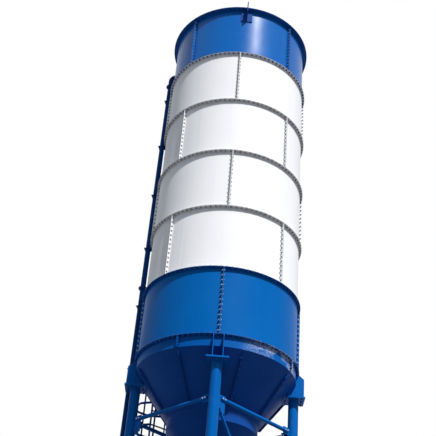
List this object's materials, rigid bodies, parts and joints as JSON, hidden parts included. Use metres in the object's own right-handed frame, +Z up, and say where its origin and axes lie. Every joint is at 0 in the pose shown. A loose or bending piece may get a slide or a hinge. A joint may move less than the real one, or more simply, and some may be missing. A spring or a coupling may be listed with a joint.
{
  "type": "bolted cement silo",
  "caption": "Tall cement silo bolted together from flanged blue and white sheets, with a conical hopper, braced tubular legs, a fill pipe and a caged ladder.",
  "frame": {"origin": "on the ground, on the upright axis of the shell", "axes": "+Z up; -Y is the front, the side with the leg nearest to the camera; +X is the viewer's right"},
  "size_m": [3.73, 3.8573, 17.14],
  "materials": {
    "white_paint": "semi-gloss enamel, lightly weathered",
    "blue_paint": "semi-gloss enamel, lightly weathered",
    "cast_coupling": "dull cast metal"
  },
  "bodies": {
    "root": {"second_course": "white_paint", "third_course": "white_paint", "fourth_course": "white_paint", "fifth_course": "white_paint", "base_course": "blue_paint", "top_course": "blue_paint", "roof": "blue_paint", "roof_manhole": "blue_paint", "manhole_cover": "blue_paint", "lifting_lugs": "blue_paint", "ring_beam": "blue_paint", "hopper": "blue_paint", "hopper_ring": "blue_paint", "lower_hopper": "blue_paint", "outlet_neck": "blue_paint", "leg_brackets": "blue_paint", "leg_head_plates": "blue_paint", "front_leg": "blue_paint", "right_leg": "blue_paint", "back_leg": "blue_paint", "left_leg": "blue_paint", "base_plates": "blue_paint", "base_ties": "blue_paint", "middle_ties": "blue_paint", "top_ties": "blue_paint", "lower_braces": "blue_paint", "upper_braces": "blue_paint", "tie_plates": "blue_paint", "fill_pipe_lower": "blue_paint", "fill_pipe_upper": "blue_paint", "fill_pipe_elbow": "blue_paint", "pipe_clamps": "blue_paint", "ladder": "blue_paint", "ladder_rungs": "blue_paint", "ladder_arms": "blue_paint", "cage_hoops": "blue_paint", "cage_straps": "blue_paint", "hose_coupling": "cast_coupling"}
  },
  "joints": []
}
